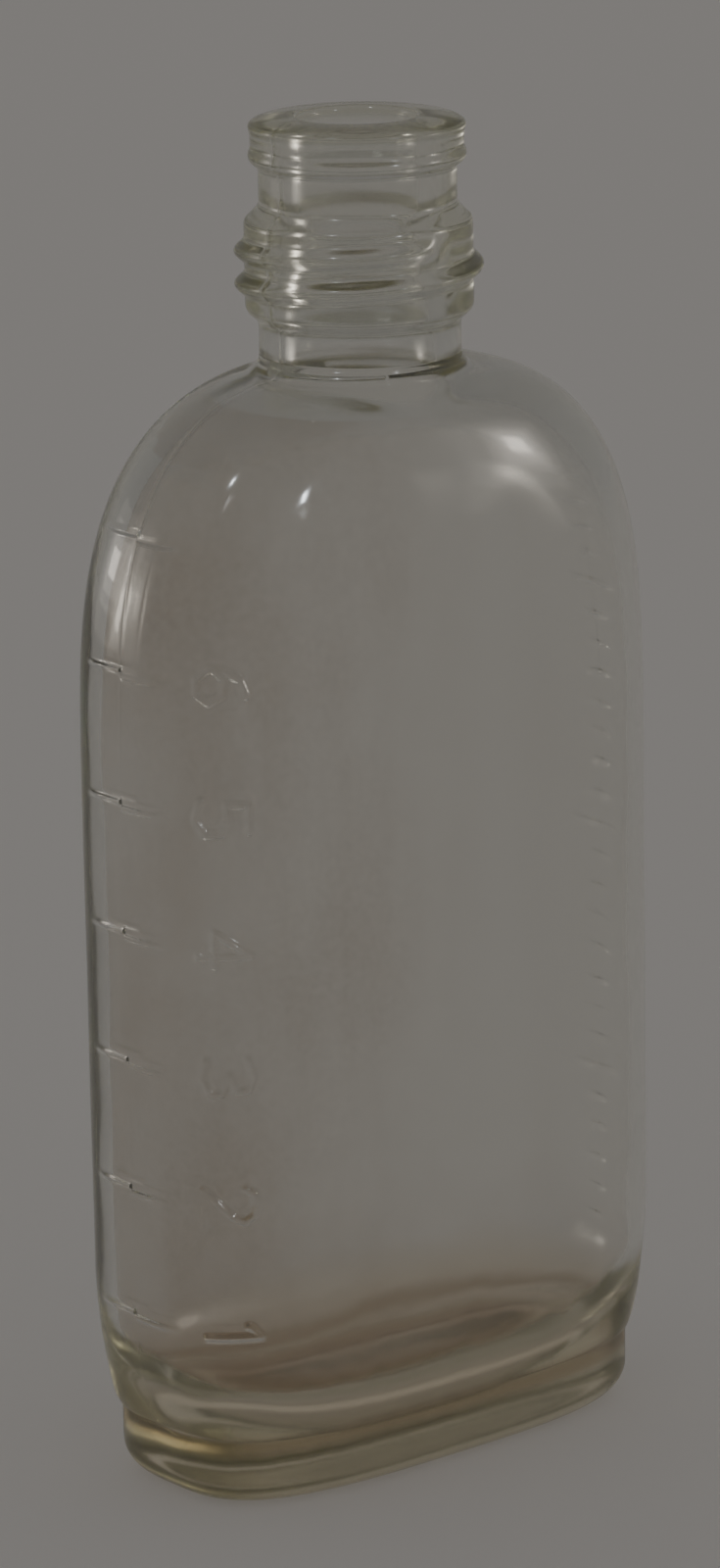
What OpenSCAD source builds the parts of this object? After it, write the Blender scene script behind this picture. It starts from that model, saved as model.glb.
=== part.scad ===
// Prescription bottle of clear moulded glass, 4 US fluid ounces (118 ml).
// An oval body on a stepped base carries a round neck with a continuous-thread screw finish.
// One narrow end is graduated in tablespoons and the other in fluid drams.
//
// +Z is up, X is the width and Y is the depth. The origin is the centre of the base.
// The glass is a single moulding. It is drawn as the regions that the mould's parts shape:
// the neck ring, the two body halves and the bottom plate. They meet face to face at the
// mould's parting lines, and the raised graduations stand on the two narrow ends.

/* [Body] */
// Width of the body, over the narrow ends
body_w = 60.4; // [56:0.2:64]
// Depth of the body, over the wide faces
body_d = 29.4; // [27:0.2:32]
// Squareness of the oval: 2 is an ellipse, and larger numbers are squarer
body_squareness = 3.2; // [2.2:0.1:4]
// Thickness of the glass in the body walls
wall_t = 2.3; // [1.4:0.1:2.6]
// Height from the base to the top of the lip
total_h = 132; // [126:1:140]

/* [Shoulder] */
// Height at which the shoulder begins to curve in
shoulder_z = 67; // [60:1:75]
// How late the shoulder turns in, seen from the front
shoulder_lateness = 3.5; // [2.5:0.1:4.5]
// How much later the wide faces turn in than the narrow ends
face_lateness_ratio = 1.18; // [1:0.02:1.3]
// How square the top of the shoulder is
shoulder_fullness = 2.1; // [1.6:0.1:2.6]
// Thickness of the glass at the top of the shoulder
shoulder_t = 2.4; // [1.8:0.1:3]

/* [Base] */
// Height of the stepped base
base_h = 7; // [5:0.5:9]
// How far the base is set in at each narrow end
base_step_w = 2.6; // [1.5:0.1:3.5]
// How far the base is set in at each wide face
base_step_d = 1.1; // [0.6:0.1:1.8]
// Height at which the heel curve reaches the full body
heel_z = 21.4; // [17:0.2:26]
// Fullness of the heel curve: 1 is a straight taper and 2 is a quarter round
heel_fullness = 1.6; // [1.3:0.1:2.2]
// Radius of the rounded bottom edge
bottom_r = 3.4; // [2:0.2:4.5]
// Height of the inner floor at its lowest point
floor_z = 5; // [3.5:0.5:6]
// Height over which the inner floor curves up into the walls
floor_curve_h = 13; // [9:1:16]
// Width of the flat ring that the bottle stands on
bearing_w = 2.4; // [1.5:0.1:3]
// Rise of the bottom inside the bearing ring
push_up = 1.1; // [0.5:0.1:2]

/* [Neck] */
// Diameter of the bore through the lip
bore_d = 11.4; // [10:0.1:12.6]
// Depth of the parallel bore below the lip
bore_len = 16; // [12:0.5:18]
// Diameter inside the foot of the neck
neck_inner_d = 14.4; // [13:0.1:15.5]
// Diameter of the neck between the lip and the thread
neck_d = 18.95; // [18:0.05:20]
// Diameter of the neck below the thread
neck_foot_d = 19.4; // [19:0.1:20.4]
// Height of the whole neck above the shoulder
neck_h = 24.2; // [22:0.1:27]

/* [Lip] */
// Diameter of the lip and of the bead below it
lip_d = 20.9; // [20:0.1:21.6]
// Diameter of the waist between the lip and the bead
lip_waist_d = 20.4; // [19.2:0.1:20.6]
// Height of the lip and its bead together
lip_h = 4.8; // [4:0.1:5.6]
// Diameter of the flat ring on top of the lip
lip_flat_d = 14.8; // [13:0.1:18]
// Drop from the flat ring to the lip's widest point
lip_drop = 0.95; // [0.6:0.05:1.3]
// Radius under the lip's widest point
lip_edge_r = 0.35; // [0.2:0.05:0.5]
// Radius of the bead
bead_r = 0.95; // [0.6:0.05:1]

/* [Thread] */
// Diameter over the thread
thread_d = 23.9; // [23.4:0.1:24.4]
// Diameter of the land that the thread stands on
thread_root_d = 21.9; // [21.2:0.1:22.2]
// Rise of the thread in one turn
thread_pitch = 3.175; // [2.8:0.005:3.6]
// Number of turns
thread_turns = 1.85; // [1:0.05:1.9]
// Width of the thread at its root
thread_root_w = 2.3; // [1.8:0.1:2.5]
// Width of the thread at its crest
thread_crest_w = 0.8; // [0.4:0.1:1.2]
// Depth of the land's top edge below the lip
land_top = 9.5; // [9:0.1:10]
// Depth of the land's bottom edge below the lip
land_bottom = 18.3; // [18:0.1:19]

/* [Graduations] */
// Height of the first tablespoon mark
first_mark_z = 19; // [17:0.1:21]
// Height of glass that holds one tablespoon
tablespoon_h = 12.7; // [12:0.1:13.4]
// Number of tablespoon marks
tablespoons = 7; // [4:1:7]
// Half length of a tablespoon mark along the outline, as an angle
tablespoon_half_angle = 33; // [20:1:40]
// Half length of a dram mark along the outline, as an angle
dram_half_angle = 15; // [8:1:25]
// Width of a raised mark
mark_w = 0.7; // [0.5:0.1:1.2]
// Height of a raised mark above the glass
mark_relief = 0.25; // [0.2:0.05:0.6]

/* [Hidden] */

glass_color = [0.86, 0.88, 0.82, 0.45];
thick_glass_color = [0.74, 0.76, 0.62, 0.6];
round_fn = 96;
columns = 64;            // points round a whole section of the body
heel_rows = 9;           // rows from the base to the full body
shoulder_rows = 17;      // rows from the full body to the neck
floor_rows = 5;          // rows in the part of the inner floor below the base's top
edge_rows = 5;           // rows round the bottom edge
mark_sink = 0.15;        // how far a mark is rooted in the glass
drams_per_tablespoon = 4;
first_dram = 3;

neck_z = total_h - neck_h;
neck_foot_r = neck_foot_d / 2;
neck_inner_r = neck_inner_d / 2;
bore_r = bore_d / 2;
thread_start_z = total_h - land_bottom + 0.8;
thread_start_angle = -32;
thread_steps_per_turn = 32;
thread_fade = 0.12;      // part of a turn over which the thread rises to its full height

// ---- Section of the body at one height ----

function signed_power(v, power) = sign(v) * pow(abs(v), power);

// A point on a section with half width w, half depth d and squareness n
function section_point(w, d, n, angle) =
    [w * signed_power(cos(angle), 2 / n), d * signed_power(sin(angle), 2 / n)];

function clamp01(v) = min(1, max(0, v));

// How much of the full body is left at height z in a shoulder that ends at height top:
// 1 below the shoulder and 0 at its top
function shoulder_share(z, top, lateness) =
    pow(1 - pow(clamp01((z - shoulder_z) / (top - shoulder_z)), lateness), 1 / shoulder_fullness);

// How far the heel curve has come in at height z: 0 at the full body and 1 at the base
function heel_share(z) =
    let (drop = clamp01((heel_z - z) / (heel_z - base_h)))
    1 - pow(1 - pow(drop, heel_fullness), 1 / heel_fullness);

function outer_half(z, full, step, lateness) =
    neck_foot_r + (full - neck_foot_r) * shoulder_share(z, neck_z, lateness) - step * heel_share(z);

function outer_w(z) = outer_half(z, body_w / 2, base_step_w, shoulder_lateness);
function outer_d(z) =
    outer_half(z, body_d / 2, base_step_d, shoulder_lateness * face_lateness_ratio);
function squareness(z) =
    2 + (body_squareness - 2) * shoulder_share(z, neck_z, shoulder_lateness);

// How wide the inside has opened at height z above the floor: 0 at the floor and 1 in the body
function floor_share(z) =
    let (rise = clamp01((z - floor_z) / floor_curve_h))
    pow(1 - pow(1 - rise, 2.4), 1 / 2.4);

function inner_half(z, full, lateness) =
    (neck_inner_r + (full - wall_t - neck_inner_r)
        * shoulder_share(z, neck_z - shoulder_t, lateness)) * floor_share(z);

function inner_w(z) = inner_half(z, body_w / 2, shoulder_lateness);
function inner_d(z) = inner_half(z, body_d / 2, shoulder_lateness * face_lateness_ratio);
function inner_squareness(z) =
    2 + (body_squareness - 2) * shoulder_share(z, neck_z - shoulder_t, shoulder_lateness);

function outer_ring(z, from, to) =
    [for (i = [from:to])
        concat(section_point(outer_w(z), outer_d(z), squareness(z), 360 * i / columns), z)];

function inner_ring(z, from, to) =
    [for (i = [from:to])
        concat(section_point(inner_w(z), inner_d(z), inner_squareness(z), 360 * i / columns), z)];

// ---- Faces between rows of points ----

// Triangles between row r and row r + 1, each n points long and numbered from start
function strip(start, r, n, flip) =
    [for (i = [0:n - 2])
        let (a = start + r * n + i, b = a + 1, c = a + n, d = c + 1)
        each flip ? [[a, b, d], [a, d, c]] : [[a, d, b], [a, c, d]]];

// Triangles that close a gap between two lists of point numbers
function seam(p, q) =
    [for (i = [0:len(p) - 2]) each [[p[i], q[i + 1], q[i]], [p[i], p[i + 1], q[i + 1]]]];

// ---- Body halves ----

half_heights = concat(
    [for (i = [0:heel_rows - 1]) base_h + (heel_z - base_h) * i / heel_rows],
    [heel_z, (heel_z + shoulder_z) / 2],
    [for (i = [0:shoulder_rows - 2])
        shoulder_z + (neck_z - shoulder_t - shoulder_z) * sin(90 * i / (shoulder_rows - 1))],
    [for (i = [0:4]) neck_z - shoulder_t * pow(1 - i / 4, 1.6)]);

// One half of the body's glass, between the columns from and from + columns / 2
module body_half(from) {
    n = columns / 2 + 1;
    rows = len(half_heights);
    outer = [for (z = half_heights) each outer_ring(z, from, from + n - 1)];
    inner = [for (z = half_heights) each inner_ring(z, from, from + n - 1)];
    count = rows * n;
    walls = [for (r = [0:rows - 2]) each concat(strip(0, r, n, false), strip(count, r, n, true))];
    foot = seam([for (i = [0:n - 1]) i], [for (i = [0:n - 1]) count + i]);
    top = seam([for (i = [0:n - 1]) 2 * count - n + i], [for (i = [0:n - 1]) count - n + i]);
    start_side = seam([for (r = [0:rows - 1]) count + r * n], [for (r = [0:rows - 1]) r * n]);
    end_side = seam([for (r = [0:rows - 1]) r * n + n - 1],
                    [for (r = [0:rows - 1]) count + r * n + n - 1]);
    polyhedron(points = concat(outer, inner), faces = concat(walls, foot, top, start_side, end_side));
}

module front_half() {
    color(glass_color) body_half(columns / 2);
}

module back_half() {
    color(glass_color) body_half(0);
}

// ---- Bottom plate region: the base's step, its bearing ring and the thick floor ----

module bottom_plate() {
    w = body_w / 2 - base_step_w;
    d = body_d / 2 - base_step_d;
    // Each row is [half width, half depth, height]
    outside = concat(
        [[w - bottom_r - bearing_w, d - bottom_r - bearing_w, 0]],
        [for (i = [0:edge_rows])
            let (a = 90 * i / edge_rows)
            [w - bottom_r * (1 - sin(a)), d - bottom_r * (1 - sin(a)), bottom_r * (1 - cos(a))]],
        [[w, d, base_h]]);
    inside = [for (i = [0:floor_rows - 1])
        let (z = floor_z + (base_h - floor_z) * pow(1 - i / floor_rows, 2))
        [inner_w(z), inner_d(z), z]];
    rows = concat(outside, inside);
    rings = [for (row = rows) each [for (i = [0:columns - 1])
        concat(section_point(row[0], row[1], body_squareness, 360 * i / columns), row[2])]];
    last = len(rings);
    walls = [for (r = [0:len(rows) - 2]) each [for (i = [0:columns - 1])
        let (a = r * columns + i, b = r * columns + (i + 1) % columns)
        each [[a, b + columns, b], [a, a + columns, b + columns]]]];
    bottom = [for (i = [0:columns - 1]) [last, i, (i + 1) % columns]];
    floor_start = last - columns;
    floor_faces = [for (i = [0:columns - 1])
        [last + 1, floor_start + (i + 1) % columns, floor_start + i]];
    color(thick_glass_color)
        polyhedron(points = concat(rings, [[0, 0, push_up], [0, 0, floor_z]]),
                   faces = concat(walls, bottom, floor_faces));
}

// ---- Neck: bore, lip, bead, land and thread ----

function arc(centre, radius, from, to, steps) =
    [for (i = [0:steps])
        let (a = from + (to - from) * i / steps)
        [centre[0] + radius * cos(a), centre[1] + radius * sin(a)]];

module neck_profile() {
    lip_r = lip_d / 2;
    waist_r = lip_waist_d / 2;
    neck_r = neck_d / 2;
    root_r = thread_root_d / 2;
    flat_r = lip_flat_d / 2;
    entry_r = 0.3;
    fillet_r = 0.8;
    bead_z = total_h - lip_h + bead_r + 0.15;
    polygon(concat(
        [[neck_inner_r, neck_z], [bore_r, total_h - bore_len]],
        arc([bore_r + entry_r, total_h - entry_r], entry_r, 180, 90, 4),
        [for (i = [0:6])
            let (a = 90 * i / 6)
            [flat_r + (lip_r - flat_r) * sin(a), total_h - lip_drop * (1 - cos(a))]],
        arc([lip_r - lip_edge_r, total_h - lip_drop], lip_edge_r, -20, -60, 2),
        [[waist_r, total_h - 1.8], [waist_r, total_h - 2.6]],
        arc([lip_r - bead_r, bead_z], bead_r, 50, -80, 6),
        [[neck_r, total_h - lip_h], [neck_r, total_h - land_top + 1.1]],
        arc([root_r - 0.5, total_h - land_top - 0.5], 0.5, 90, 0, 3),
        arc([root_r - 0.8, total_h - land_bottom + 0.2], 0.8, 0, -60, 3),
        [[neck_foot_r - 0.15, total_h - land_bottom - 1.4],
         [neck_foot_r - 0.15, neck_z + fillet_r]],
        arc([neck_foot_r + fillet_r, neck_z + fillet_r], fillet_r, 186, 262, 5),
        [[neck_foot_r + fillet_r, neck_z]]));
}

// Height of the thread as a share of its full height, part of the way u along its turns
function thread_rise(u) =
    let (ramp = clamp01(min(u, 1 - u) * thread_turns / thread_fade))
    sin(90 * ramp);

module thread() {
    steps = round(thread_turns * thread_steps_per_turn);
    root_r = thread_root_d / 2 - 0.4;
    depth = thread_d / 2 - root_r;
    profile = [[0, -thread_root_w / 2], [0.7, -thread_root_w / 3], [1, -thread_crest_w / 2],
               [1, thread_crest_w / 2], [0.7, thread_root_w / 3], [0, thread_root_w / 2]];
    n = len(profile);
    points = [for (s = [0:steps]) each [for (p = profile)
        let (u = s / steps,
             a = thread_start_angle + 360 * thread_turns * u,
             r = root_r + p[0] * (0.3 + (depth - 0.3) * thread_rise(u)),
             z = thread_start_z + thread_pitch * thread_turns * u + p[1])
        [r * cos(a), r * sin(a), z]]];
    sides = [for (s = [0:steps - 1]) each [for (i = [0:n - 1])
        let (a = s * n + i, b = s * n + (i + 1) % n)
        each [[a, b, b + n], [a, b + n, a + n]]]];
    ends = [for (i = [1:n - 2]) each
        [[0, i + 1, i], [steps * n, steps * n + i, steps * n + i + 1]]];
    polyhedron(points = points, faces = concat(sides, ends));
}

module neck_finish() {
    color(glass_color) {
        rotate_extrude($fn = round_fn) neck_profile();
        thread();
    }
}

// ---- Raised graduations ----

// A raised bar at height z that wraps round one narrow end, centred on the angle middle
module mark(z, middle, half_angle) {
    steps = 2 * ceil(half_angle / 7);
    n = steps + 1;
    function mark_row(height, grow) =
        [for (i = [0:steps])
            concat(section_point(outer_w(height) + grow, outer_d(height) + grow, squareness(height),
                                 middle + half_angle * (2 * i / steps - 1)), height)];
    low = z - mark_w / 2;
    high = z + mark_w / 2;
    points = concat(mark_row(low, -mark_sink), mark_row(low, mark_relief),
                    mark_row(high, mark_relief), mark_row(high, -mark_sink));
    rows = [for (r = [0:3]) each [for (i = [0:steps - 1])
        let (a = r * n + i, c = (r + 1) % 4 * n + i)
        each [[a, c, c + 1], [a, c + 1, a + 1]]]];
    ends = [[0, 3 * n, 2 * n], [0, 2 * n, n],
            [steps, steps + n, steps + 2 * n], [steps, steps + 2 * n, steps + 3 * n]];
    polyhedron(points = points, faces = concat(rows, ends));
}

module tablespoon_marks() {
    color(glass_color)
        for (i = [0:tablespoons - 1])
            mark(first_mark_z + i * tablespoon_h, 180, tablespoon_half_angle);
}

module dram_marks() {
    color(glass_color)
        for (i = [first_dram:tablespoons * drams_per_tablespoon])
            mark(first_mark_z + (i / drams_per_tablespoon - 1) * tablespoon_h, 0, dram_half_angle);
}

neck_finish();
front_half();
back_half();
bottom_plate();
tablespoon_marks();
dram_marks();
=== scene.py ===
"""Clear glass prescription bottle: its looks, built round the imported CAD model.

Sizes are in millimetres until a mesh is made, when MM turns them into metres.
"""

import math

import bpy
import numpy as np
from mathutils import Matrix, Vector


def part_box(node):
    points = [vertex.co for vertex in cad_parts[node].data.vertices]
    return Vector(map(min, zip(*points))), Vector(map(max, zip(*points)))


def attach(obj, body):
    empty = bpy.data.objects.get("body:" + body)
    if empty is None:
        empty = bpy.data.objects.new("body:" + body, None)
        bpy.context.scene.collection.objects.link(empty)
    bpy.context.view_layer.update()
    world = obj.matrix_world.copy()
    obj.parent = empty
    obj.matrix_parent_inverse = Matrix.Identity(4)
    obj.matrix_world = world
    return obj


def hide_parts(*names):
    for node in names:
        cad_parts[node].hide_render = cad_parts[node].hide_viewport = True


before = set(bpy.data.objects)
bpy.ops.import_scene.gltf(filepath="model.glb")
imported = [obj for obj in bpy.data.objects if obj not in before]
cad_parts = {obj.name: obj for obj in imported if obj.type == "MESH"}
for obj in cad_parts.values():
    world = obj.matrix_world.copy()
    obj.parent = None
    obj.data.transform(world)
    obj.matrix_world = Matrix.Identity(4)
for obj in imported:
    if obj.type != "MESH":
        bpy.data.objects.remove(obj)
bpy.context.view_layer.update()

MM = 0.001


def box_mm(node):
    """Lowest and highest corner of a CAD node, in millimetres."""
    low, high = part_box(node)
    return np.array(low) / MM, np.array(high) / MM


# ---- Sizes from the frame ----
neck_low, neck_high = box_mm("neck_finish")
half_low, half_high = box_mm("front_half")
plate_high = box_mm("bottom_plate")[1]
TOTAL_H = neck_high[2]
NECK_Z = neck_low[2]
HALF_W = half_high[0]
HALF_D = -half_low[1]
BASE_H = plate_high[2]
STEP_W = HALF_W - plate_high[0]
STEP_D = HALF_D - plate_high[1]
THREAD_R = (neck_high[0] - neck_low[0]) / 2

# ---- Body shape, the same rules as the CAD model ----
SQUARENESS = 3.2  # power of the squared oval; 2 is an ellipse
WALL_T = 2.3
END_WALL_T = 1.8
SHOULDER_Z = 67.0  # where the shoulders start to draw in
SHOULDER_T = 2.4
LATENESS = 3.5  # a higher power draws the shoulders in later
FACE_LATENESS = LATENESS * 1.18
FULLNESS = 2.1
HEEL_Z = 21.4  # where the walls start to draw in above the base
HEEL_FULLNESS = 1.6
BOTTOM_R = 3.4
BEARING_W = 2.4
PUSH_UP = 1.1
FLOOR_Z = 5.0
FLOOR_CURVE_H = 13.0
FLOOR_POWER = 2.4

# ---- Neck: radii, and depths below the top of the lip ----
LIP_R = 10.45
LIP_FLAT_R = 7.4
LIP_EDGE_R = 0.35
LIP_DROP = 0.95
WAIST_R = 10.2
WAIST_TOP = 1.8
WAIST_BOTTOM = 2.6
BEAD_R = 0.95
BEAD_DEPTH = 3.7
BEAD_BOTTOM = 4.85
NECK_R = 9.475
ROOT_R = 10.95
LAND_HEAD = 8.4
LAND_TOP = 9.5
LAND_TOP_R = 0.6
LAND_BOTTOM = 18.1
LAND_BOTTOM_R = 0.8
LAND_FOOT = 19.6
NECK_FOOT_R = 9.7
FOOT_FILLET_R = 1.4
BORE_R = 5.7
BORE_EDGE_R = 0.35
BORE_STRAIGHT = 12.0
NECK_INNER_R = 7.2
INNER_FILLET_R = 2.4

# ---- Screw thread ----
THREAD_PITCH = 3.175
THREAD_TURNS = 1.85
THREAD_HALF_W = 1.2
THREAD_START_ANGLE = -32.0
THREAD_START_Z = TOTAL_H - 17.5
THREAD_FADE = 0.12  # share of a turn over which each end fades

# ---- Graduations ----
FIRST_MARK_Z = 19.0
TABLESPOON_H = 12.7
TABLESPOONS = 7
DRAMS_PER_TABLESPOON = 4
DRAMS_PER_OUNCE = 8
FIRST_DRAM = 3
TABLESPOON_HALF_LEN = 5.4
DRAM_HALF_LEN = 2.6
OUNCE_HALF_LEN = 4.4
MARK_HALF_W = 0.38
MARK_END_FADE = 1.5
TABLESPOON_RELIEF = 0.22
DRAM_RELIEF = 0.12

# ---- Seams, where the two mould halves meet a little out of step ----
SEAM_STEP = 0.5
SEAM_HALF_W = 0.25
SEAM_RELIEF = 0.05
SEAM_FAINT = 0.35  # share of the relief that the walls show; the shoulders show it all
SEAM_FADE_H = 15.0

# ---- Raised numerals beside the tablespoon marks ----
NUMERAL_W = 3.3
NUMERAL_H = 5.0
NUMERAL_FOOT = 9.2
NUMERAL_HALF_STROKE = 0.48
NUMERAL_RELIEF = 0.36
# Each numeral is one stroke through points in a box of this width and height
STROKE_BOX = (6, 10)
NUMERALS = [
    [(2, 8), (4, 10), (4, 0)],
    [(0, 8), (1, 9.6), (3, 10), (5, 9.5), (6, 7.6), (5, 5.4), (0, 0), (6, 0)],
    [(0, 9), (3, 10), (5.4, 9), (5.4, 6.8), (2.6, 5.4), (5.8, 4), (6, 1.8), (3, 0), (0, 1)],
    [(4.4, 0), (4.4, 10), (0, 3), (6, 3)],
    [(5.6, 10), (1, 10), (0.6, 5.8), (3.4, 6.3), (5.8, 4.8), (6, 2), (3.2, 0), (0, 1)],
    [(5, 9.8), (2.2, 8.4), (0.4, 5), (0.2, 2.4), (1.8, 0.2), (4.4, 0.2), (6, 2.6), (4.8, 5.2),
     (2, 5.4), (0.6, 3.8)],
]

# ---- Unevenness of the glass: depth, length of the waves, and seed ----
WAVES = 7
WAVE_SPREAD = (0.7, 1.6)
FACE_RIPPLE = (0.02, 14, 3)
BASE_RIPPLE = (0.05, 5, 11)
INNER_RIPPLE = (0.16, 26, 5)
FINE_INNER_RIPPLE = (0.05, 9, 8)
BASE_RIPPLE_FADE = 8.0
FLOOR_RIPPLE_FADE = 4.0
NECK_RIPPLE_FADE = 8.0

# ---- Spacing of the mesh: columns in shares of the way round, rows in millimetres ----
COLUMNS = 184
LEAST_COLUMN_GAP = 0.0004
SEAM_COLUMNS = np.array([0.0007, 0.0015, 0.0024])
NUMERAL_COLUMNS = np.arange(0.555, 0.625, 0.0011)
BODY_ROW_GAP = 0.8
NUMERAL_ROW_GAP = 0.22
FOOT_ROW_GAP = 0.1
NECK_ROW_GAP = 0.2
INNER_ROW_GAP = 1.0
LEAST_ROW_GAP = 0.07
STEP_ROWS = np.array([0.0, 0.05, 0.15, 0.3, 0.5, 0.8, 1.2])
EVEN_LIP_ROWS = 30  # rows from the top of the lip that stay perfectly round

# ---- Roughness of the residue and of the floor ----
MATT = 0.9

# ---- Surface of the glass ----
IOR = 1.51
TRANSMISSION = 0.97
CLEAR = (0.985, 0.985, 0.975, 1.0)
STAINED = (0.985, 0.91, 0.79, 1.0)
# Painted shade: a dark band that darkens the step above the base ring and the bright facet just
# below it
STEP_PAINTED_SHADE = (0.50, 0.38, 0.26, 1.0)
# Painted shade: darkens the top of the lip, where it would see dark surroundings
LIP_PAINTED_SHADE = (0.82, 0.82, 0.72, 1.0)
# Height and colour of each stop on the way up
STAIN_AND_SHADE_STOPS = [(0.0, STAINED), (BASE_H - 2.2, STAINED), (BASE_H - 1.2, STEP_PAINTED_SHADE), (BASE_H, STEP_PAINTED_SHADE),
               (BASE_H + 1.0, STAINED), (2 * BASE_H, CLEAR), (TOTAL_H - 1.6, CLEAR),
               (TOTAL_H - 0.8, LIP_PAINTED_SHADE)]
HAZE_SCALE = 60.0
HAZE = (0.04, 0.12)
SCUFFED = 0.16
SCUFF_Z = (18.0, 2.0)
FROSTED = 0.06
FROST_Z = (NECK_Z - 6, NECK_Z + 2)
GLASS_TINT = (0.80, 0.81, 0.62, 1.0)
GLASS_DENSITY = 32.0

# ---- Dried residue on the inside ----
RESIDUE_TOP = 104.0
RESIDUE_GAP = 0.1
RESIDUE_DENSITY = 0.36
RESIDUE_X = (4.0, -16.0)  # from where it is thin to where it is thickest
RESIDUE_THIN = 0.12
CRUST_DENSITY = 0.2
CRUST_Z = (22.0, 6.0)
RESIDUE_DARK = (0.62, 0.39, 0.20, 1.0)
RESIDUE_PALE = (0.82, 0.59, 0.37, 1.0)

# ---- Camera ----
CAMERA_AZIMUTH = -39.46
CAMERA_DISTANCE = 594.2
CAMERA_HEIGHT = 222.5
CAMERA_PITCH = 14.72
CAMERA_YAW = 0.074
CAMERA_ROLL = -1.0
CAMERA_LENS = 144.9
SENSOR_W = 36.0

# ---- Floor and light ----
FLOOR_HALF = 3000.0
FLOOR_COLOUR = (0.80, 0.78, 0.75, 1.0)
FLOOR_GLOW_COLOUR = (1.0, 0.965, 0.94, 1.0)
FLOOR_GLOW = 0.085
HORIZON = (0.95, 0.92, 0.89, 1.0)
ZENITH = (0.60, 0.585, 0.57, 1.0)
SKY_STRENGTH = 0.21
WARM = (1.0, 0.92, 0.82)
COOL = (0.90, 0.95, 1.0)
# Share of the size, and power, of the nested sheets that make one softbox
SOFTBOX_STEPS = ((0.35, 0.055), (0.7, 0.06), (1.0, 0.06), (1.5, 0.045))


# ---- Section of the body at one height ----
def clamp01(v):
    return np.clip(v, 0.0, 1.0)


def shoulder_share(z, top, lateness):
    rise = clamp01((z - SHOULDER_Z) / (top - SHOULDER_Z))
    return (1 - rise ** lateness) ** (1 / FULLNESS)


def heel_share(z):
    drop = clamp01((HEEL_Z - z) / (HEEL_Z - BASE_H))
    return 1 - (1 - drop ** HEEL_FULLNESS) ** (1 / HEEL_FULLNESS)


def floor_share(z):
    rise = clamp01((z - FLOOR_Z) / FLOOR_CURVE_H)
    return (1 - (1 - rise) ** FLOOR_POWER) ** (1 / FLOOR_POWER)


def outer_rows(z):
    """Half width, half depth and squareness of the outside at heights z."""
    wide = shoulder_share(z, NECK_Z, LATENESS)
    deep = shoulder_share(z, NECK_Z, FACE_LATENESS)
    w = NECK_FOOT_R + (HALF_W - NECK_FOOT_R) * wide - STEP_W * heel_share(z)
    d = NECK_FOOT_R + (HALF_D - NECK_FOOT_R) * deep - STEP_D * heel_share(z)
    return np.stack([w, d, 2 + (SQUARENESS - 2) * wide, z], axis=1)


def inner_rows(z):
    """The same for the inside of the glass."""
    top = NECK_Z - SHOULDER_T
    wide = shoulder_share(z, top, LATENESS)
    deep = shoulder_share(z, top, FACE_LATENESS)
    w = (NECK_INNER_R + (HALF_W - END_WALL_T - NECK_INNER_R) * wide) * floor_share(z)
    d = (NECK_INNER_R + (HALF_D - WALL_T - NECK_INNER_R) * deep) * floor_share(z)
    return np.stack([w, d, 2 + (SQUARENESS - 2) * wide, z], axis=1)


def round_rows(points):
    """Rows of a round part, from (radius, height) points."""
    p = np.array(points, dtype=float)
    return np.stack([p[:, 0], p[:, 0], np.full(len(p), 2.0), p[:, 1]], axis=1)


def resample(rows, spacing):
    """The same profile with rows an even distance apart, measured over width and height."""
    steps = np.hypot(np.diff(rows[:, 0]), np.diff(rows[:, 3]))
    along = np.concatenate([[0], np.cumsum(steps)])
    count = max(2, int(math.ceil(along[-1] / spacing)) + 1)
    at = np.linspace(0, along[-1], count)
    return np.stack([np.interp(at, along, rows[:, k]) for k in range(4)], axis=1)


def smooth_rows(rows, times):
    """Rounds the profile's corners a little, as moulded glass has them."""
    rows = rows.copy()
    for _ in range(times):
        rows[1:-1] = 0.5 * rows[1:-1] + 0.25 * (rows[:-2] + rows[2:])
    return rows


def arc(centre_r, centre_z, radius, start, end, steps=10):
    """(radius, height) points on an arc, in degrees."""
    angles = np.radians(np.linspace(start, end, steps + 1))
    return [(centre_r + radius * math.cos(a), centre_z + radius * math.sin(a)) for a in angles]


# ---- Rows of the whole glass, from the middle of the bottom, up and over the lip, to the floor ----
def bottom_rows():
    """The push-up, the bearing ring and the rounded edge of the bottom."""
    w, d = HALF_W - STEP_W, HALF_D - STEP_D
    rows = []
    inset = BOTTOM_R + BEARING_W
    for share in np.linspace(0.04, 1, 16):
        lift = PUSH_UP * (1 - share ** 2) ** 1.5
        rows.append([(w - inset) * share, (d - inset) * share, SQUARENESS, lift])
    for a in np.radians(np.linspace(0, 90, 14)):
        inset = BOTTOM_R * (1 - math.sin(a))
        rows.append([w - inset, d - inset, SQUARENESS, BOTTOM_R * (1 - math.cos(a))])
    return np.array(rows)


def mark_heights(every=1):
    """Heights of the raised marks, one for every so many drams."""
    drams = np.arange(FIRST_DRAM, TABLESPOONS * DRAMS_PER_TABLESPOON + 1)
    drams = drams[drams % every == 0]
    return FIRST_MARK_Z + (drams / DRAMS_PER_TABLESPOON - 1) * TABLESPOON_H


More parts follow.
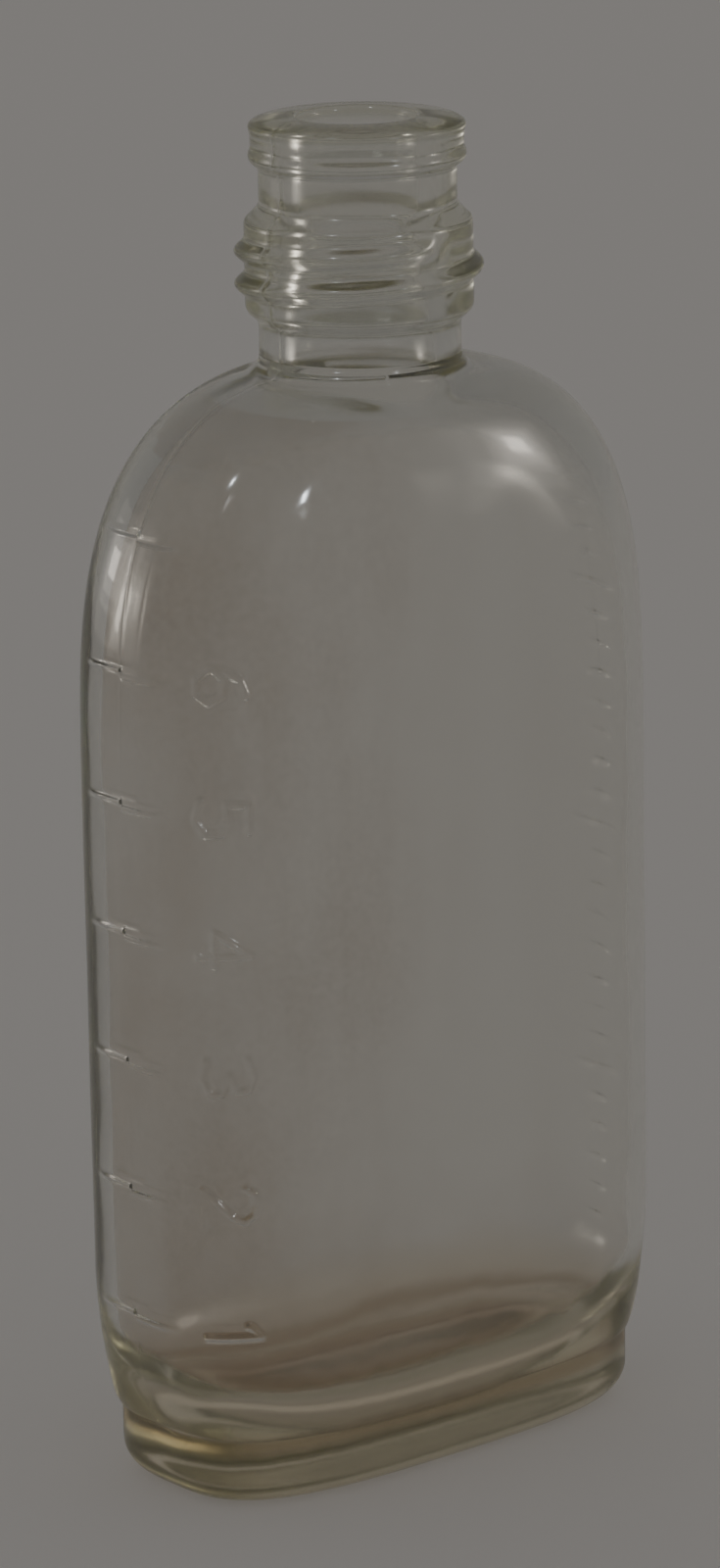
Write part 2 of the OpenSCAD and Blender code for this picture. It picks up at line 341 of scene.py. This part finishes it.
def body_heights():
    """Heights of the body's rows: closer together at the marks and near the neck."""
    dense = np.concatenate([np.linspace(BASE_H, SHOULDER_Z, 400),
                            NECK_Z - (NECK_Z - SHOULDER_Z) * np.linspace(1, 0, 600)[1:] ** 2])
    even = resample(outer_rows(dense), BODY_ROW_GAP)[:, 3]
    close = dense[outer_rows(dense)[:, 0] < NECK_FOOT_R + 2 * FOOT_FILLET_R]
    foot = resample(outer_rows(close[close > SHOULDER_Z]), FOOT_ROW_GAP)[:, 3]
    offsets = np.linspace(-1.2, 1.2, 7) * MARK_HALF_W
    marks = (mark_heights()[:, None] + offsets[None, :]).ravel()
    fine = np.arange(FIRST_MARK_Z - 3, FIRST_MARK_Z + TABLESPOONS * TABLESPOON_H, NUMERAL_ROW_GAP)
    fine = fine[fine < NECK_Z - 9]
    heights = np.sort(np.concatenate([even, marks, foot, BASE_H + STEP_ROWS, fine]))
    apart = (np.diff(heights) > LEAST_ROW_GAP) | (heights[1:] > NECK_Z - 0.5)
    return np.unique(heights[np.concatenate([[True], apart])])


def neck_outline():
    """(radius, height) points from the foot of the neck, over the lip and down the bore."""
    top = TOTAL_H
    points = [(NECK_FOOT_R, NECK_Z + FOOT_FILLET_R), (NECK_FOOT_R, top - LAND_FOOT)]
    points += arc(ROOT_R - LAND_BOTTOM_R, top - LAND_BOTTOM, LAND_BOTTOM_R, -60, 0)
    points += arc(ROOT_R - LAND_TOP_R, top - LAND_TOP - LAND_TOP_R, LAND_TOP_R, 0, 75)
    points += [(NECK_R, top - LAND_HEAD), (NECK_R, top - BEAD_BOTTOM)]
    points += arc(LIP_R - BEAD_R, top - BEAD_DEPTH, BEAD_R, -80, 50)
    points += [(WAIST_R, top - WAIST_BOTTOM), (WAIST_R, top - WAIST_TOP)]
    points += arc(LIP_R - LIP_EDGE_R, top - LIP_DROP, LIP_EDGE_R, -60, -20, 3)
    for a in np.radians(np.linspace(90, 0, 12)):
        points.append((LIP_FLAT_R + (LIP_R - LIP_FLAT_R) * math.sin(a),
                       top - LIP_DROP * (1 - math.cos(a))))
    points += arc(BORE_R + BORE_EDGE_R, top - BORE_EDGE_R, BORE_EDGE_R, 90, 180)
    # Below its straight stretch the bore widens into the body
    wide_z = NECK_Z - SHOULDER_T + INNER_FILLET_R
    straight_z = top - BORE_STRAIGHT
    for drop in np.linspace(0, 1, 20):
        ease = drop * drop * (3 - 2 * drop)
        points.append((BORE_R + (NECK_INNER_R - BORE_R) * ease,
                       straight_z - (straight_z - wide_z) * drop))
    return points


def inside_rows():
    """The inside of the body, from the foot of the neck down to the middle of the floor."""
    top = NECK_Z - SHOULDER_T
    dense = top - (top - HEEL_Z) * np.linspace(0, 1, 900) ** 2
    walls = resample(inner_rows(dense), INNER_ROW_GAP)
    shares = np.sin(np.radians(np.linspace(88, 2, 60)))
    rise = 1 - (1 - shares ** FLOOR_POWER) ** (1 / FLOOR_POWER)
    floor = inner_rows(FLOOR_Z + FLOOR_CURVE_H * rise)
    return np.concatenate([walls, floor])


def glass_rows():
    outside = outer_rows(body_heights())
    neck = smooth_rows(resample(round_rows(neck_outline()), NECK_ROW_GAP), 3)
    return np.concatenate([bottom_rows(), outside, neck, inside_rows()])


# ---- Columns: shares of the way round a section, starting at the +X end ----
def column_shares():
    """Evenly spaced, and closer together at the seams and the numerals."""
    even = np.arange(COLUMNS) / COLUMNS
    extra = np.concatenate([SEAM_COLUMNS, 1 - SEAM_COLUMNS, 0.5 + SEAM_COLUMNS,
                            0.5 - SEAM_COLUMNS, NUMERAL_COLUMNS])
    shares = np.sort(np.concatenate([even, extra]))
    return shares[np.concatenate([[True], np.diff(shares) > LEAST_COLUMN_GAP])]


def section(w, d, n, shares):
    """Points at the given shares of the way round a squared oval, and its whole length."""
    v = np.linspace(0, 0.5 ** (1 / n), 240)
    u = (1 - v ** n) ** (1 / n)
    x = w * np.concatenate([u, v[::-1][1:]])
    y = d * np.concatenate([v, u[::-1][1:]])
    along = np.concatenate([[0], np.cumsum(np.hypot(np.diff(x), np.diff(y)))])
    quarter = np.floor(shares * 4).astype(int)
    part = shares * 4 - quarter
    part = np.where(quarter % 2 == 0, part, 1 - part) * along[-1]
    sign_x = np.where((quarter == 1) | (quarter == 2), -1, 1)
    sign_y = np.where(quarter >= 2, -1, 1)
    return sign_x * np.interp(part, along, x), sign_y * np.interp(part, along, y), 4 * along[-1]


# ---- Relief that stands on the glass ----
def bump(distance, half_width, power=1.5):
    """A rounded ridge: 1 on its middle line, and 0 from half_width on."""
    return clamp01(1 - (distance / half_width) ** 2) ** power


def thread_height(x, y, z):
    """How far the screw thread stands out of its land at each point."""
    angle = np.degrees(np.arctan2(y, x)) - THREAD_START_ANGLE
    height = np.zeros_like(x)
    for turn in range(-1, 4):
        u = angle / 360 + turn
        dz = z - (THREAD_START_Z + THREAD_PITCH * u)
        fade = np.sin(np.pi / 2 * clamp01(np.minimum(u, THREAD_TURNS - u) / THREAD_FADE))
        height = np.maximum(height, bump(dz, THREAD_HALF_W) * fade)
    return height * (THREAD_R - ROOT_R)


def mark_height(offset, z, half_len, heights, relief):
    """How far raised marks stand out, at offset along the outline from the end's middle."""
    height = np.zeros_like(z)
    along = clamp01((half_len - np.abs(offset)) / MARK_END_FADE)
    for mark_z in heights:
        height = np.maximum(height, bump(z - mark_z, MARK_HALF_W))
    return height * along * relief


def numeral_height(offset, z, heights):
    """How far the numerals stand out; they lie on their side, with their feet to the seam."""
    height = np.zeros_like(z)
    for stroke, mark_z in zip(NUMERALS, heights):
        near = (np.abs(z - mark_z) < NUMERAL_W) & (np.abs(offset - NUMERAL_FOOT) < 2 * NUMERAL_H)
        across = offset[near] - NUMERAL_FOOT
        down = mark_z - z[near] + NUMERAL_W / 2
        nearest = np.full(across.shape, NUMERAL_H)
        points = [(a / STROKE_BOX[0] * NUMERAL_W, b / STROKE_BOX[1] * NUMERAL_H)
                  for a, b in stroke]
        for (a0, b0), (a1, b1) in zip(points[:-1], points[1:]):
            da, db = a1 - a0, b1 - b0
            t = clamp01(((down - a0) * da + (across - b0) * db) / (da * da + db * db))
            nearest = np.minimum(nearest, np.hypot(down - a0 - t * da, across - b0 - t * db))
        height[near] = np.maximum(height[near], bump(nearest, NUMERAL_HALF_STROKE))
    return height * NUMERAL_RELIEF


def ripple(x, y, z, depth, length, seed):
    """A gentle unevenness of about this depth, with waves of about this length."""
    total = np.zeros_like(x)
    random = np.random.RandomState(seed)
    for _ in range(WAVES):
        direction = random.normal(size=3)
        wave = length * random.uniform(*WAVE_SPREAD)
        direction *= 2 * math.pi / wave / np.linalg.norm(direction)
        phase = random.uniform(0, 2 * math.pi)
        total += np.sin(direction[0] * x + direction[1] * y + direction[2] * z + phase)
    return depth * total / 4


def outer_relief(x, y, z, shares, length):
    """How far marks, numerals, seams, thread and ripples stand out of the outside."""
    right = np.minimum(shares, 1 - shares) * length
    left = np.abs(shares - 0.5) * length
    tablespoons = mark_heights(DRAMS_PER_TABLESPOON)
    step = np.where(y < 0, SEAM_STEP / 2, -SEAM_STEP / 2)
    relief = mark_height(left, z + step, TABLESPOON_HALF_LEN, tablespoons, TABLESPOON_RELIEF)
    drams = mark_height(right, z, DRAM_HALF_LEN, mark_heights(), DRAM_RELIEF)
    ounces = mark_height(right, z, OUNCE_HALF_LEN, mark_heights(DRAMS_PER_OUNCE), DRAM_RELIEF)
    relief += np.maximum(drams, ounces)
    relief += numeral_height((shares - 0.5) * length * np.ones_like(z), z, tablespoons)
    clear = SEAM_FAINT + (1 - SEAM_FAINT) * clamp01((z - SHOULDER_Z) / SEAM_FADE_H)
    relief += SEAM_RELIEF * clear * bump(np.minimum(left, right), SEAM_HALF_W, 1.0)
    relief += thread_height(x, y, z) * (z > NECK_Z)
    relief += ripple(x, y, z, *FACE_RIPPLE) * (z < NECK_Z)
    relief += ripple(x, y, z, *BASE_RIPPLE) * clamp01((HEEL_Z - z) / BASE_RIPPLE_FADE)
    return relief


def inner_relief(x, y, z):
    """How far the uneven inside of the blown glass stands out."""
    uneven = ripple(x, y, z, *INNER_RIPPLE) + ripple(x, y, z, *FINE_INNER_RIPPLE)
    return (uneven * clamp01((z - FLOOR_Z) / FLOOR_RIPPLE_FADE)
            * clamp01((NECK_Z - z) / NECK_RIPPLE_FADE))


def corner_rise(x, y, z, neck_r, radius, top):
    """Lift that rounds the corner between the shoulder, which ends at top, and the neck."""
    share = clamp01((neck_r + radius - np.hypot(x, y)) / radius)
    rise = radius * (1 - np.sqrt(1 - share ** 2))
    return np.where((z > SHOULDER_Z) & (z < top + 0.001), rise, 0)


# ---- Meshes ----
def glass_grid():
    """Points of the whole glass, rows by columns, and a sheet just clear of its inside."""
    rows = glass_rows()
    shares = column_shares()
    sections = [section(w, d, n, shares) for w, d, n, _ in rows]
    x, y, length = (np.array(values) for values in zip(*sections))
    length = length[:, None]
    z = np.repeat(rows[:, 3][:, None], len(shares), axis=1)

    # Outward direction of each section
    tx = np.roll(x, -1, axis=1) - np.roll(x, 1, axis=1)
    ty = np.roll(y, -1, axis=1) - np.roll(y, 1, axis=1)
    size = np.hypot(tx, ty) + 1e-9
    nx, ny = ty / size, -tx / size

    lip_row = int(np.argmax(rows[:, 3]))
    row = np.arange(len(rows))[:, None]
    outside = (row < lip_row) & (z > BASE_H - 0.01)
    inside = row > lip_row + EVEN_LIP_ROWS

    push = np.where(outside, outer_relief(x, y, z, shares, length), 0)
    push -= np.where(inside, inner_relief(x, y, z), 0)
    rise = outside * corner_rise(x, y, z, NECK_FOOT_R, FOOT_FILLET_R, NECK_Z)
    rise += inside * corner_rise(x, y, z, NECK_INNER_R, INNER_FILLET_R, NECK_Z - SHOULDER_T)
    points = np.stack([x + nx * push, y + ny * push, z + rise], axis=2)

    held = inside[:, 0] & (rows[:, 3] < RESIDUE_TOP)
    clear = push[held] - RESIDUE_GAP
    sheet = np.stack([x[held] + nx[held] * clear, y[held] + ny[held] * clear,
                      z[held] + RESIDUE_GAP], axis=2)
    return points, sheet


def grid_mesh(name, points, last_pole, first_pole=None):
    """A mesh from a grid of points that wraps round, with a point that closes each end."""
    rows, columns = points.shape[:2]
    a = np.arange(rows * columns).reshape(rows, columns)
    b = np.roll(a, -1, axis=1)
    quads = np.stack([a[:-1], b[:-1], b[1:], a[1:]], axis=2).reshape(-1, 4)
    faces = quads.tolist()
    verts = np.concatenate([points.reshape(-1, 3), [last_pole]])
    faces += [(rows * columns, a[-1, i], b[-1, i]) for i in range(columns)]
    if first_pole:
        verts = np.concatenate([verts, [first_pole]])
        faces += [(rows * columns + 1, b[0, i], a[0, i]) for i in range(columns)]
    verts = verts * MM
    mesh = bpy.data.meshes.new(name)
    mesh.from_pydata(verts.tolist(), [], faces)
    mesh.update()
    mesh.polygons.foreach_set("use_smooth", [True] * len(mesh.polygons))
    return new_object(name, mesh)


def new_object(name, data):
    obj = bpy.data.objects.new(name, data)
    bpy.context.scene.collection.objects.link(obj)
    return obj


# ---- Nodes shared by the materials ----
def new_material(name):
    """A material with its node tree and its shader."""
    mat = bpy.data.materials.new(name)
    mat.use_nodes = True
    return mat, mat.node_tree, mat.node_tree.nodes["Principled BSDF"]


def feed(tree, socket, value):
    """Links the input to another node's socket, or sets it to a number or a colour."""
    if isinstance(value, bpy.types.NodeSocket):
        tree.links.new(value, socket)
    else:
        socket.default_value = value


def new_node(tree, kind, **inputs):
    """A new node with its inputs fed; an underscore in an input's name stands for a space."""
    node = tree.nodes.new(kind)
    for name, value in inputs.items():
        feed(tree, node.inputs[name.replace("_", " ")], value)
    return node


def calculate(tree, operation, a, b):
    node = tree.nodes.new("ShaderNodeMath")
    node.operation = operation
    feed(tree, node.inputs[0], a)
    feed(tree, node.inputs[1], b)
    return node.outputs["Value"]


def place_on_object(tree):
    """Places on the piece in metres, as a vector and by axis."""
    vector = tree.nodes.new("ShaderNodeTexCoord").outputs["Object"]
    return vector, new_node(tree, "ShaderNodeSeparateXYZ", Vector=vector).outputs


def noise(tree, vector, scale, detail, stretch=1.0):
    """Noise from 0 to 1; a stretch below 1 draws it out upwards."""
    mapping = new_node(tree, "ShaderNodeMapping", Vector=vector, Scale=(1.0, 1.0, stretch))
    texture = new_node(tree, "ShaderNodeTexNoise", Vector=mapping.outputs["Vector"], Scale=scale,
                       Detail=detail)
    return texture.outputs["Fac"]


def remap(tree, value, start, end, to_start, to_end):
    """The value, moved from one range into another and held inside it."""
    node = new_node(tree, "ShaderNodeMapRange", Value=value, From_Min=start, From_Max=end,
                    To_Min=to_start, To_Max=to_end)
    return node.outputs["Result"]


def by_place(tree, coordinate, start, end, to_start, to_end):
    """A value that changes between two places on the piece, given in millimetres."""
    return remap(tree, coordinate, start * MM, end * MM, to_start, to_end)


def colour_ramp(tree, value, stops):
    """Colours at positions from 0 to 1."""
    node = new_node(tree, "ShaderNodeValToRGB", Fac=value)
    elements = node.color_ramp.elements
    for _ in stops[2:]:
        elements.new(0.5)
    for element, (position, colour) in zip(elements, stops):
        element.position = position
        element.color = colour
    return node.outputs["Color"]


# ---- Materials ----
def stain_and_shade_colour(tree, z):
    """Brown stains on the base, with painted shade in its step and on the lip, by height."""
    share = calculate(tree, "DIVIDE", z, TOTAL_H * MM)
    stops = [(height / TOTAL_H, colour) for height, colour in STAIN_AND_SHADE_STOPS]
    return colour_ramp(tree, share, stops)


def worn_roughness(tree, vector, z):
    """Faint smears all over, scuffs on the base and a neck frosted by use."""
    smears = remap(tree, noise(tree, vector, HAZE_SCALE, detail=6.0), 0.35, 0.70, *HAZE)
    scuffs = by_place(tree, z, *SCUFF_Z, 0.0, SCUFFED)
    frost = by_place(tree, z, *FROST_Z, 0.0, FROSTED)
    return calculate(tree, "ADD", smears, calculate(tree, "ADD", frost, scuffs))


def glass_material():
    mat, tree, shader = new_material("clear_glass")
    vector, place = place_on_object(tree)
    shader.inputs["IOR"].default_value = IOR
    shader.inputs["Transmission Weight"].default_value = TRANSMISSION
    tree.links.new(worn_roughness(tree, vector, place["Z"]), shader.inputs["Roughness"])
    # Base colour: brown stains, with painted shade at the base's step and on the top of the lip
    tree.links.new(stain_and_shade_colour(tree, place["Z"]), shader.inputs["Base Color"])
    tint = new_node(tree, "ShaderNodeVolumeAbsorption", Color=GLASS_TINT, Density=GLASS_DENSITY)
    tree.links.new(tint.outputs["Volume"], tree.nodes["Material Output"].inputs["Volume"])
    return mat


def residue_alpha(tree, vector, place):
    """A patchy film, thickest at the left end, and a crust where the rest dried on the floor."""
    def uneven(scale, detail, noise_range, to_range, stretch=1.0):
        return remap(tree, noise(tree, vector, scale, detail, stretch), *noise_range, *to_range)

    spread = by_place(tree, place["X"], *RESIDUE_X, RESIDUE_THIN, 1.0)
    patches = uneven(scale=38.0, detail=5.0, noise_range=(0.38, 0.66), to_range=(0.4, 1.0))
    streaks = uneven(scale=160.0, detail=4.0, noise_range=(0.35, 0.7), to_range=(0.6, 1.0),
                     stretch=0.15)
    grain = uneven(scale=1500.0, detail=3.0, noise_range=(0.35, 0.7), to_range=(0.8, 1.1))
    film = calculate(tree, "MULTIPLY", calculate(tree, "MULTIPLY", spread, patches),
                     calculate(tree, "MULTIPLY", streaks, grain))
    low = by_place(tree, place["Z"], *CRUST_Z, 0.0, 1.0)
    lumps = uneven(scale=120.0, detail=6.0, noise_range=(0.3, 0.65), to_range=(0.5, 1.0))
    crust = calculate(tree, "MULTIPLY", low, lumps)
    return calculate(tree, "ADD", calculate(tree, "MULTIPLY", film, RESIDUE_DENSITY),
                     calculate(tree, "MULTIPLY", crust, CRUST_DENSITY))


def residue_material():
    mat, tree, shader = new_material("dried_residue")
    vector, place = place_on_object(tree)
    shader.inputs["Roughness"].default_value = MATT
    shader.inputs["Specular IOR Level"].default_value = 0.0
    tree.links.new(residue_alpha(tree, vector, place), shader.inputs["Alpha"])
    colour = colour_ramp(tree, noise(tree, vector, scale=90.0, detail=4.0),
                         [(0.0, RESIDUE_DARK), (1.0, RESIDUE_PALE)])
    tree.links.new(colour, shader.inputs["Base Color"])
    return mat


def floor_material():
    mat, _, shader = new_material("pale_floor")
    shader.inputs["Base Color"].default_value = FLOOR_COLOUR
    shader.inputs["Roughness"].default_value = MATT
    # A faint even glow, so that the thick base doesn't look down on its own shadow
    shader.inputs["Emission Color"].default_value = FLOOR_GLOW_COLOUR
    shader.inputs["Emission Strength"].default_value = FLOOR_GLOW
    return mat


# ---- Camera, floor, sky and lights ----
def place_round(azimuth, distance, height):
    """A place in metres by its direction round the bottle, in degrees from the front face."""
    a = math.radians(azimuth)
    return Vector((math.sin(a) * distance, -math.cos(a) * distance, height)) * MM


def add_camera():
    data = bpy.data.cameras.new("camera")
    data.lens = CAMERA_LENS
    data.sensor_width = SENSOR_W
    data.clip_start = 0.05
    data.clip_end = 50.0
    camera = new_object("camera", data)
    turn = (Matrix.Rotation(math.radians(CAMERA_AZIMUTH + CAMERA_YAW), 4, "Z")
            @ Matrix.Rotation(math.radians(90 - CAMERA_PITCH), 4, "X")
            @ Matrix.Rotation(math.radians(CAMERA_ROLL), 4, "Z"))
    place = place_round(CAMERA_AZIMUTH, CAMERA_DISTANCE, CAMERA_HEIGHT)
    camera.matrix_world = Matrix.Translation(place) @ turn
    bpy.context.scene.camera = camera


def add_floor():
    half = FLOOR_HALF * MM
    mesh = bpy.data.meshes.new("floor")
    mesh.from_pydata([(-half, -half, 0), (half, -half, 0), (half, half, 0), (-half, half, 0)],
                     [], [(0, 1, 2, 3)])
    mesh.materials.append(floor_material())
    new_object("floor", mesh)


def add_sky():
    """An even studio: pale round the horizon and darker overhead."""
    world = bpy.data.worlds.new("studio")
    world.use_nodes = True
    tree = world.node_tree
    vector = tree.nodes.new("ShaderNodeTexCoord").outputs["Generated"]
    up = new_node(tree, "ShaderNodeSeparateXYZ", Vector=vector).outputs["Z"]
    background = tree.nodes["Background"]
    background.inputs["Strength"].default_value = SKY_STRENGTH
    tree.links.new(colour_ramp(tree, up, [(0.0, HORIZON), (1.0, ZENITH)]),
                   background.inputs["Color"])
    bpy.context.scene.world = world


def add_light(name, lit, azimuth, distance, height, wide, high, power, colour):
    """A flat light that faces the bottle's middle and reaches only the lit pieces."""
    data = bpy.data.lights.new(name, "AREA")
    data.shape = "RECTANGLE"
    data.size = wide * MM
    data.size_y = high * MM
    data.energy = power
    data.color = colour
    light = new_object(name, data)
    light.location = place_round(azimuth, distance, height)
    back = light.location - Vector((0, 0, TOTAL_H / 2 * MM))
    light.rotation_euler = back.to_track_quat("Z", "Y").to_euler()
    light.visible_camera = False
    light.light_linking.receiver_collection = lit


def add_lights(pieces):
    """Two softboxes and two small lamps; the floor stays even because they don't reach it."""
    lit = bpy.data.collections.new("lit_pieces")
    for piece in pieces:
        lit.objects.link(piece)
    # Nested sheets fade out to their edges, as a real softbox does
    for share, power in SOFTBOX_STEPS:
        add_light("right_box", lit, azimuth=49, distance=500, height=150,
                  wide=120 * share, high=90 * share, power=power, colour=WARM)
        add_light("left_box", lit, azimuth=-146, distance=500, height=140,
                  wide=150 * share, high=150 * share, power=1.2 * power, colour=WARM)
    add_light("lamp_high", lit, azimuth=-75, distance=550, height=850,
              wide=25, high=50, power=0.35, colour=COOL)
    add_light("lamp_low", lit, azimuth=2, distance=900, height=420,
              wide=25, high=50, power=0.35, colour=COOL)


# ---- The scene ----
# Light passes through thick glass by many reflections
cycles = bpy.context.scene.cycles
cycles.max_bounces = 32
cycles.glossy_bounces = 24
cycles.transmission_bounces = 32

glass, sheet = glass_grid()
bottle = grid_mesh("glass_bottle", glass, (0, 0, FLOOR_Z), (0, 0, PUSH_UP))
bottle.data.materials.append(glass_material())
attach(bottle, "root")
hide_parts("neck_finish", "front_half", "back_half", "bottom_plate",
            "tablespoon_marks", "dram_marks")

residue = grid_mesh("dried_residue", sheet, (0, 0, FLOOR_Z + RESIDUE_GAP))
residue.data.materials.append(residue_material())
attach(residue, "root")

add_camera()
add_floor()
add_sky()
add_lights([bottle, residue])
